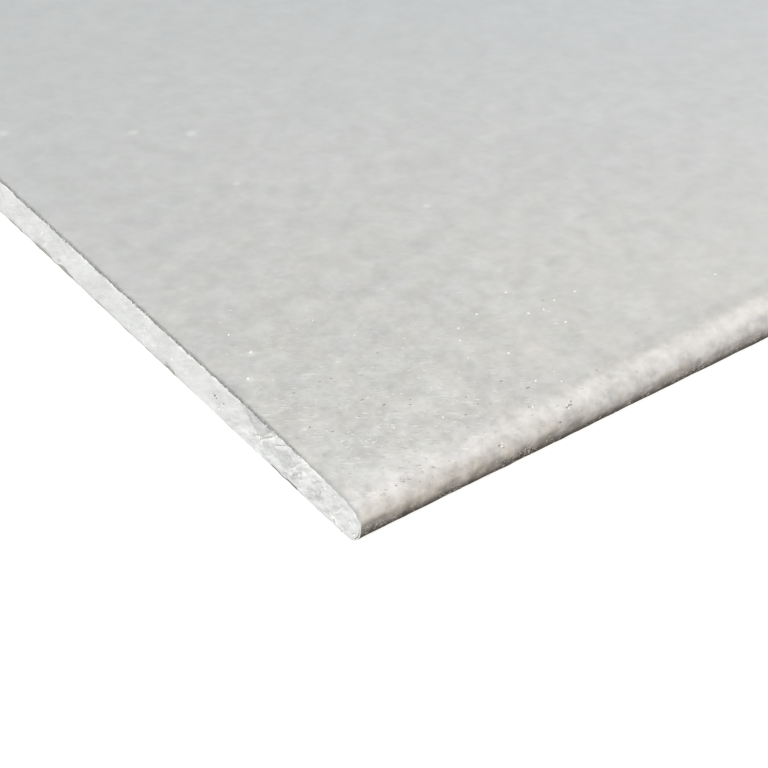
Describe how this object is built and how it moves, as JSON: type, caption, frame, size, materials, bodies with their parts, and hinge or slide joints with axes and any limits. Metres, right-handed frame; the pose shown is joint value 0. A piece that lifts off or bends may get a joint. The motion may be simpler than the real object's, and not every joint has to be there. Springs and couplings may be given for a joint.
{
  "type": "drywall sheet",
  "caption": "Flat gypsum board: a plaster sheet faced with paper, with tapered half-round long edges and square sawn ends.",
  "frame": {"origin": "middle of the back of the sheet, on the surface that it lies on", "axes": "+X along the sheet's length, +Y across its width, +Z out of its face"},
  "size_m": [2.5, 1.2, 0.0125],
  "materials": {
    "gypsum": "matte",
    "face_paper": "matte",
    "back_paper": "matte"
  },
  "bodies": {
    "root": {"gypsum_core": "gypsum", "face_paper": "face_paper", "back_paper": "back_paper"}
  },
  "joints": []
}
